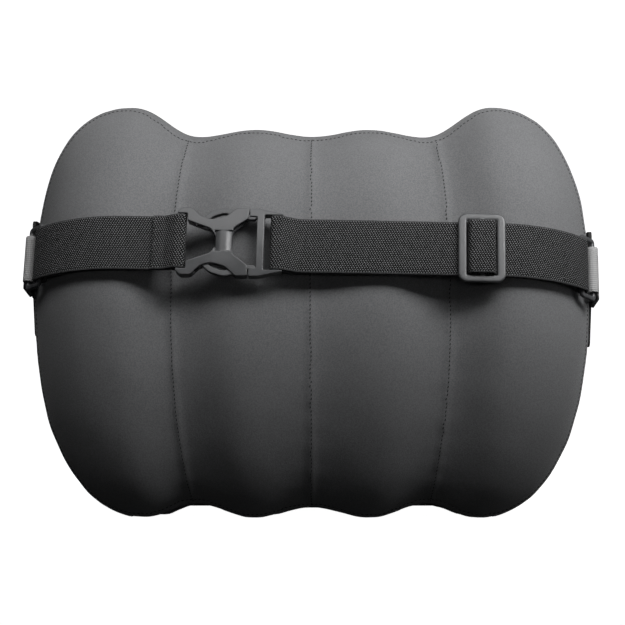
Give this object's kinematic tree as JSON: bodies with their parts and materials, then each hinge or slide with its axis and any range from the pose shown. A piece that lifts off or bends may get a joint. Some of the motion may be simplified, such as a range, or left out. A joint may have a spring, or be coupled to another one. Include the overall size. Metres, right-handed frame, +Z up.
{
  "type": "lumbar support cushion",
  "caption": "Four-lobed foam back cushion with raised ears, zipped cover and an elastic strap across its rear with side-release buckle, adjuster and end rings.",
  "frame": {"origin": "on the floor plane the cushion stands on, under the middle of the assembly's overall width and depth", "axes": "+Z up, +X along the cushion's width to the right when looking at the strapped rear, +Y from the strapped rear towards the user's side"},
  "size_m": [0.412, 0.1463, 0.2958],
  "materials": {
    "cover_cloth": "matt woven cloth",
    "foam": "open-cell polyurethane foam",
    "zip_tape": "woven tape",
    "zip_metal": "satin black",
    "patch_cloth": "matt woven cloth",
    "tab_webbing": "flat woven webbing",
    "strap_webbing": "ribbed elastic webbing",
    "black_plastic": "satin moulded"
  },
  "bodies": {
    "cushion": {"foam_core": "foam", "back_panel_outer_left": "cover_cloth", "back_panel_inner_left": "cover_cloth", "back_panel_inner_right": "cover_cloth", "back_panel_outer_right": "cover_cloth", "front_panel_outer_left": "cover_cloth", "front_panel_inner_left": "cover_cloth", "front_panel_inner_right": "cover_cloth", "front_panel_outer_right": "cover_cloth", "side_band": "cover_cloth", "zip_tape_back": "zip_tape", "zip_tape_front": "zip_tape", "zip_stops": "zip_metal", "side_patch_left": "patch_cloth", "side_patch_right": "patch_cloth", "side_tab_left": "tab_webbing", "side_tab_right": "tab_webbing"},
    "ring_left": {"ring_left": "black_plastic"},
    "ring_right": {"ring_right": "black_plastic"},
    "strap": {"webbing_left": "strap_webbing", "webbing_right": "strap_webbing", "buckle_socket": "black_plastic"},
    "plug": {"buckle_plug": "black_plastic"},
    "prong_upper": {"prong_upper": "black_plastic"},
    "prong_lower": {"prong_lower": "black_plastic"},
    "adjuster": {"adjuster": "black_plastic"},
    "zip_slider": {"zip_slider": "zip_metal"},
    "zip_pull": {"zip_pull": "zip_metal"}
  },
  "joints": [
    {"name": "strap_lift", "type": "slide", "parent": "cushion", "child": "strap", "axis": [0.0043, -0.9744, 0.2249], "range_m": [0, 0.04], "stiffness_N_per_m": 120, "deforming": ["webbing_left", "webbing_right"]},
    {"name": "ring_left_turn", "type": "hinge", "parent": "cushion", "child": "ring_left", "pos_m": [-0.19829, -0.02157, 0.18301], "axis": [-0.0187, -0.225, -0.9742], "range_deg": [0, 41]},
    {"name": "ring_right_turn", "type": "hinge", "parent": "cushion", "child": "ring_right", "pos_m": [0.19793, -0.02157, 0.1754], "axis": [0.0187, 0.225, 0.9742], "range_deg": [0, 41]},
    {"name": "plug_release", "type": "slide", "parent": "strap", "child": "plug", "axis": [0.9998, 0, -0.0192], "range_m": [0, 0.036], "deforming": ["webbing_right", "prong_upper", "prong_lower"]},
    {"name": "prong_upper_squeeze", "type": "hinge", "parent": "plug", "child": "prong_upper", "pos_m": [-0.03785, -0.06056, 0.207], "axis": [0.0043, -0.9744, 0.2249], "range_deg": [0, 7], "stiffness_Nm_per_rad": 0.05},
    {"name": "prong_lower_squeeze", "type": "hinge", "parent": "plug", "child": "prong_lower", "pos_m": [-0.03851, -0.06848, 0.17271], "axis": [-0.0043, 0.9744, -0.2249], "range_deg": [0, 7], "stiffness_Nm_per_rad": 0.05},
    {"name": "adjuster_slide", "type": "slide", "parent": "strap", "child": "adjuster", "axis": [-0.9998, 0, 0.0192], "range_m": [0, 0.075], "deforming": ["webbing_right"]},
    {"name": "zip_slide", "type": "slide", "parent": "cushion", "child": "zip_slider", "axis": [-1, 0, 0], "range_m": [0, 0.22]},
    {"name": "zip_pull_turn", "type": "hinge", "parent": "zip_slider", "child": "zip_pull", "pos_m": [0.1194, 0.006, 0.0053], "axis": [0, -1, 0], "range_deg": [0, 80]}
  ],
  "couplings": [
    {"joint": "ring_left_turn", "follows": "strap_lift", "rad_per_m": 17.5},
    {"joint": "ring_right_turn", "follows": "strap_lift", "rad_per_m": 17.5}
  ]
}
